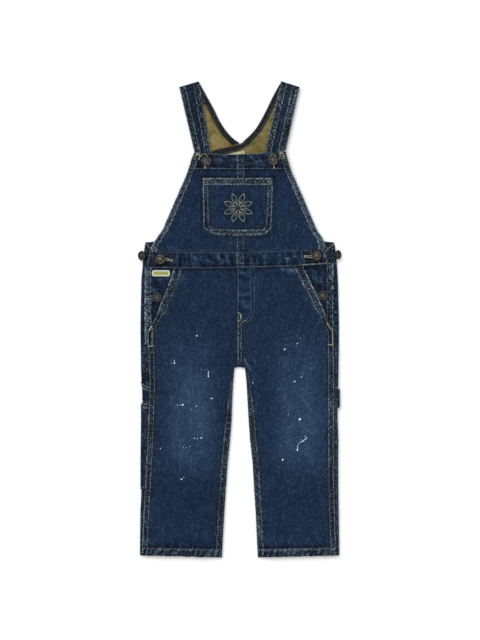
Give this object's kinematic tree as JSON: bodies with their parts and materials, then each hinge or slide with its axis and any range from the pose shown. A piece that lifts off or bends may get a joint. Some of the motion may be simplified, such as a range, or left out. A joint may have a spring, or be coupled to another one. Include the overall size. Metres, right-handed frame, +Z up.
{
  "type": "child's denim dungarees with paint spatter",
  "caption": "Child's denim dungarees laid flat front up: bib with chest pocket, buttoned straps over a crossed back, long straight legs with slanted hip pockets.",
  "frame": {"origin": "middle of the bounding box, on the surface that the garment lies on", "axes": "+Z up off the surface, through the front; +Y along the garment towards the shoulders; +X towards the wearer's left"},
  "size_m": [0.3367, 0.7872, 0.0136],
  "materials": {
    "denim": "washed indigo twill, faded at the knees and roped at the seams, with white paint specks",
    "label_tape": "woven off-white tape, blank",
    "button_brass": "dark antique"
  },
  "bodies": {
    "root": {"front_leg_right": "denim", "front_leg_left": "denim", "back_leg_right": "denim", "back_leg_left": "denim", "pocket_facing_right": "denim", "pocket_facing_left": "denim", "utility_pocket_upper": "denim", "utility_pocket_lower": "denim", "hammer_loop": "denim", "front_waistband_right": "denim", "front_waistband_left": "denim", "back_waistband": "denim", "bib_right": "denim", "bib_left": "denim", "chest_pocket": "denim", "strap_right": "denim", "strap_left": "denim", "neck_binding_right": "denim", "neck_binding_left": "denim", "neck_label": "label_tape", "hip_label": "label_tape", "button_bib_right": "button_brass", "button_bib_left": "button_brass", "button_waist_right": "button_brass", "button_waist_left": "button_brass", "button_side_right": "button_brass", "button_side_left": "button_brass", "button_placket_right": "button_brass", "button_placket_left": "button_brass"}
  },
  "joints": []
}
